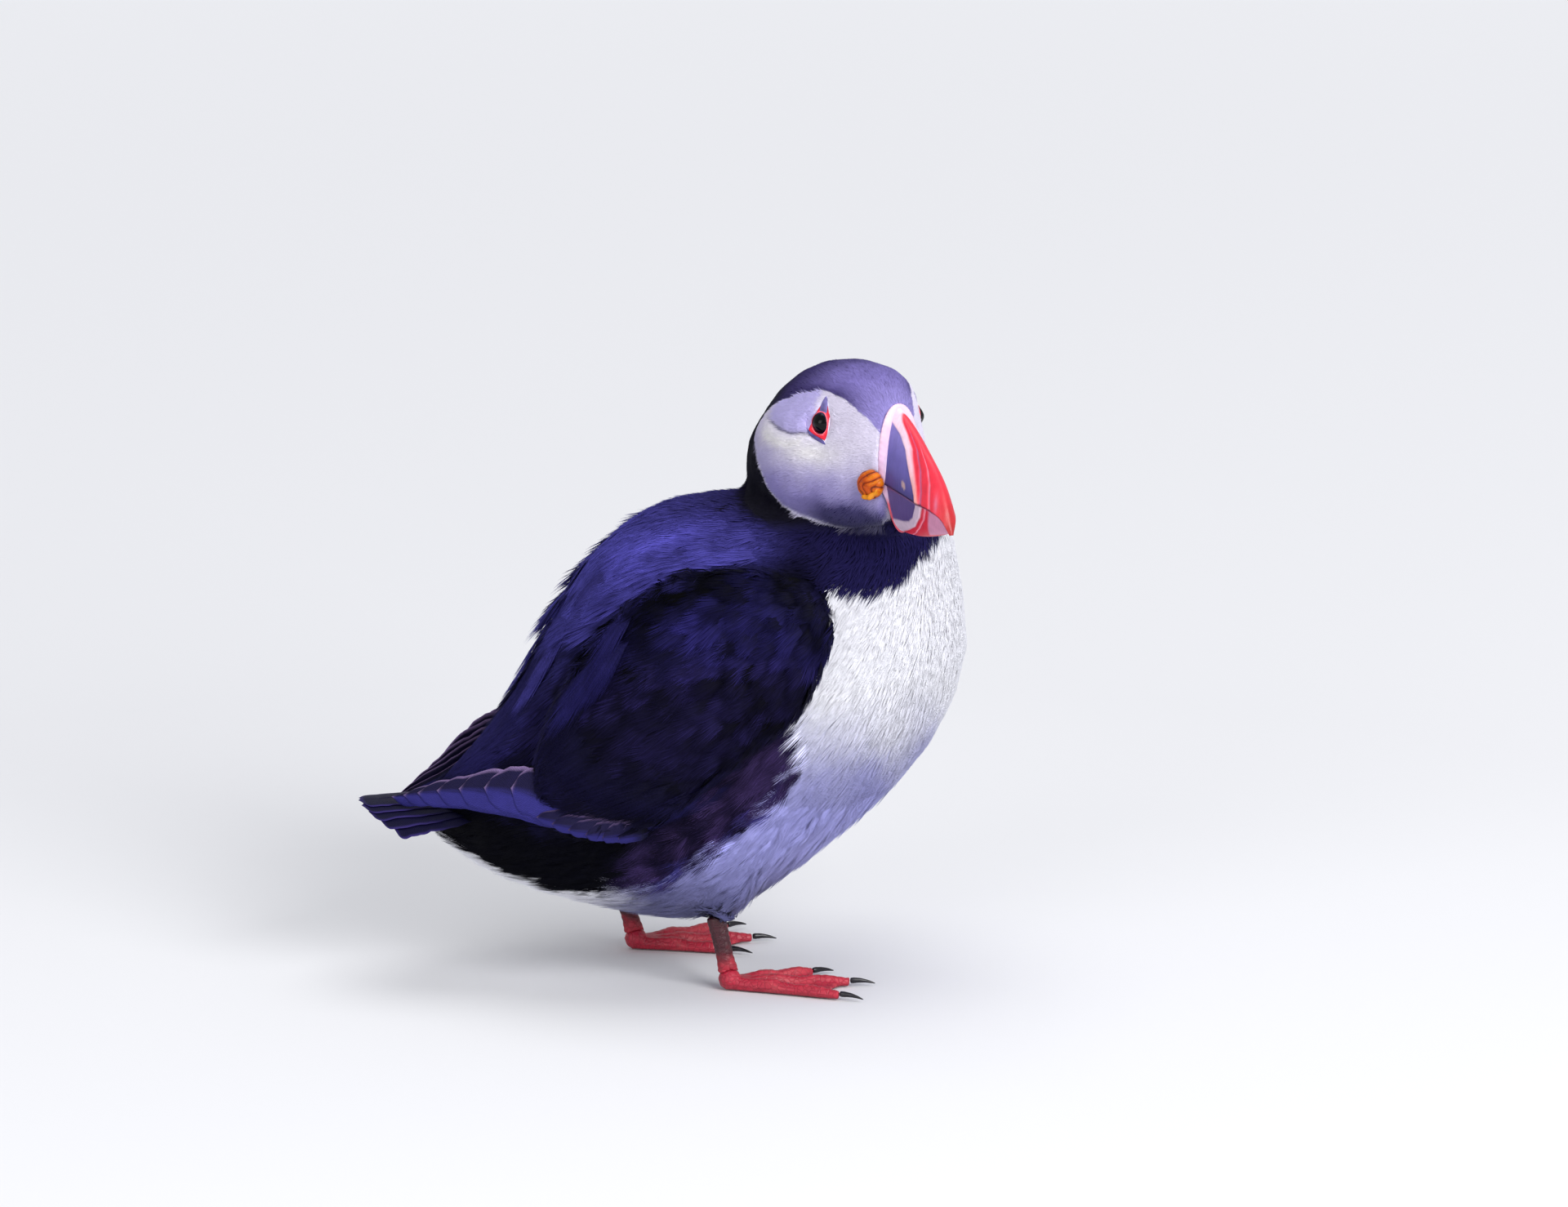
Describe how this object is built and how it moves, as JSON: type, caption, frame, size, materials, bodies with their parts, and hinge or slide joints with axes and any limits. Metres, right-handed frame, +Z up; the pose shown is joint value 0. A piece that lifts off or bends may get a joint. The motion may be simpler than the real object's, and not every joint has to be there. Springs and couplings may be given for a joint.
{
  "type": "atlantic puffin",
  "caption": "Standing Atlantic puffin, life size, with its head turned over its right side and its wings folded.",
  "frame": {"origin": "on the floor, under the middle of the bird's bounding box", "axes": "+X the way the body faces, +Y the bird's left, +Z up"},
  "size_m": [0.1854, 0.1278, 0.1891],
  "materials": {
    "feathers": "soft short body feathers, black above and white below",
    "flight_feathers": "smooth stiff vanes with pale shafts",
    "eye": "wet and glossy",
    "eyelid": "bare wrinkled skin",
    "eye_horn": "smooth dull horn",
    "rosette": "fleshy and wrinkled",
    "bill_rim": "waxy bare skin",
    "bill_horn": "grooved horn in plates of blue-grey, pale pink and red",
    "leg_skin": "scaled and webbed skin",
    "claw": "smooth dark horn"
  },
  "bodies": {
    "root": {"trunk": "feathers", "neck": "feathers", "head": "feathers", "bill_rim": "bill_rim", "bill_upper": "bill_horn", "bill_lower": "bill_horn", "rosette_left": "rosette", "rosette_right": "rosette", "eye_left": "eye", "eye_right": "eye", "eye_ring_left": "eyelid", "eye_ring_right": "eyelid", "eye_plate_upper_left": "eye_horn", "eye_plate_upper_right": "eye_horn", "eye_plate_lower_left": "eye_horn", "eye_plate_lower_right": "eye_horn", "wing_left": "feathers", "wing_right": "feathers", "quills_left": "flight_feathers", "quills_right": "flight_feathers", "tail": "flight_feathers", "thigh_left": "feathers", "thigh_right": "feathers", "tarsus_left": "leg_skin", "tarsus_right": "leg_skin", "foot_left": "leg_skin", "foot_right": "leg_skin", "claw_left_a": "claw", "claw_left_b": "claw", "claw_left_c": "claw", "claw_right_a": "claw", "claw_right_b": "claw", "claw_right_c": "claw"}
  },
  "joints": []
}
